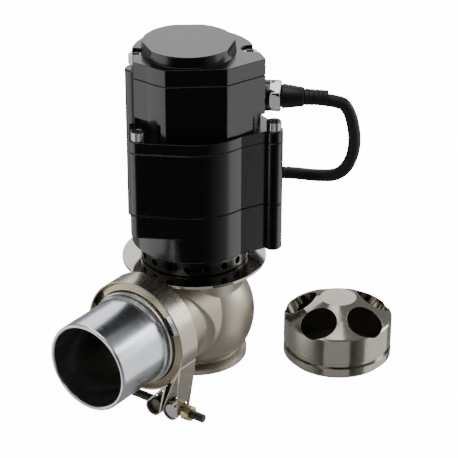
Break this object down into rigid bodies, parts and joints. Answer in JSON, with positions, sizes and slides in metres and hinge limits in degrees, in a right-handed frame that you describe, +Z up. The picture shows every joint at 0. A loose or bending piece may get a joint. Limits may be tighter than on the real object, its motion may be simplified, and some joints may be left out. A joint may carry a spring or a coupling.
{
  "type": "anti-lag valve",
  "caption": "Electronically driven poppet valve for a turbo anti-lag circuit: motor actuator with cable lead, heat shield, V-band ports, hose adaptor, clamp and a loose diffuser insert.",
  "frame": {"origin": "centre of the outlet flange's face, at the bottom of the valve body", "axes": "+Z up along the valve stem towards the actuator, -Y out of the inlet port and hose adaptor, +X completes the right-handed set"},
  "size_m": [0.1278, 0.1881, 0.2007],
  "materials": {
    "cast_stainless": "satin bead-blasted stainless steel",
    "hard_steel": "ground hardened steel",
    "bronze": "machined bronze",
    "polished_stainless": "polished stainless sheet",
    "black_anodised": "satin black anodised aluminium",
    "bright_stainless": "bright stainless steel screws",
    "lamination_steel": "electrical steel laminations",
    "copper": "enamelled copper",
    "magnet": "nickel plated magnet",
    "bearing_steel": "bright steel",
    "spring_steel": "spring steel wire",
    "seal_rubber": "fluorocarbon seal rubber",
    "circuit_board": "glass-fibre circuit board",
    "brass_post": "turned brass",
    "black_plastic": "black nylon",
    "polished_aluminium": "polished aluminium",
    "clamp_stainless": "rolled stainless strip",
    "gold_stainless": "rolled stainless, slightly straw coloured",
    "dark_steel": "dark stainless thread",
    "gold_nut": "yellow plated steel",
    "plated_brass": "nickel plated brass",
    "black_rubber": "black cable sheath",
    "turned_stainless": "turned stainless steel"
  },
  "bodies": {
    "valve_assembly": {"valve_body": "cast_stainless", "valve_seat": "hard_steel", "guide_bush": "bronze", "heat_shield": "polished_stainless", "hose_adaptor": "polished_aluminium", "inlet_gasket": "seal_rubber", "clamp_band": "clamp_stainless", "v_retainers": "gold_stainless", "t_bolt": "dark_steel", "trunnion": "clamp_stainless", "diffuser_insert": "turned_stainless"},
    "locking_collar": {"locking_collar": "black_anodised"},
    "actuator": {"spring_housing": "black_anodised", "motor_housing": "black_anodised", "bearing_plate": "black_anodised", "electronics_housing": "black_anodised", "top_cap": "black_anodised", "cap_screws": "bright_stainless", "housing_bolts": "bright_stainless", "stator": "lamination_steel", "lower_windings": "copper", "upper_windings": "copper", "lower_bearing": "bearing_steel", "upper_bearing": "bearing_steel", "stem_seal": "seal_rubber", "drive_board": "circuit_board", "board_posts": "brass_post", "board_screws": "bearing_steel", "position_sensor": "black_plastic", "board_capacitors": "bearing_steel", "gland_nut": "plated_brass", "gland_cap": "black_plastic", "lead_sleeve": "black_rubber", "lead_cable": "black_rubber", "lead_connector": "black_plastic", "connector_pins": "gold_nut"},
    "rotor": {"rotor_shaft": "hard_steel", "rotor_magnets": "magnet"},
    "valve": {"poppet_valve": "hard_steel", "lead_screw": "hard_steel", "position_magnet": "magnet", "spring_seat": "hard_steel", "return_spring": "spring_steel"},
    "clamp_nut": {"clamp_nut": "gold_nut"}
  },
  "joints": [
    {"name": "collar_turn", "type": "hinge", "parent": "valve_assembly", "child": "locking_collar", "pos_m": [0, 0, 0.067], "axis": [0, 0, 1], "range_deg": [0, 30]},
    {"name": "actuator_clocking", "type": "hinge", "parent": "valve_assembly", "child": "actuator", "pos_m": [0, 0, 0.1], "axis": [0, 0, 1], "range_deg": [-45, 45]},
    {"name": "rotor_turn", "type": "hinge", "parent": "actuator", "child": "rotor", "pos_m": [0, 0, 0.119], "axis": [0, 0, 1], "range_deg": [0, 900]},
    {"name": "valve_lift", "type": "slide", "parent": "valve_assembly", "child": "valve", "axis": [0, 0, 1], "range_m": [0, 0.01], "stiffness_N_per_m": 600, "springref_m": -0.01, "deforming": ["return_spring"]},
    {"name": "nut_travel", "type": "slide", "parent": "valve_assembly", "child": "clamp_nut", "axis": [1, 0, 0], "range_m": [0, 0.008]}
  ],
  "couplings": [
    {"joint": "rotor_turn", "follows": "valve_lift", "rad_per_m": 1570.8}
  ]
}
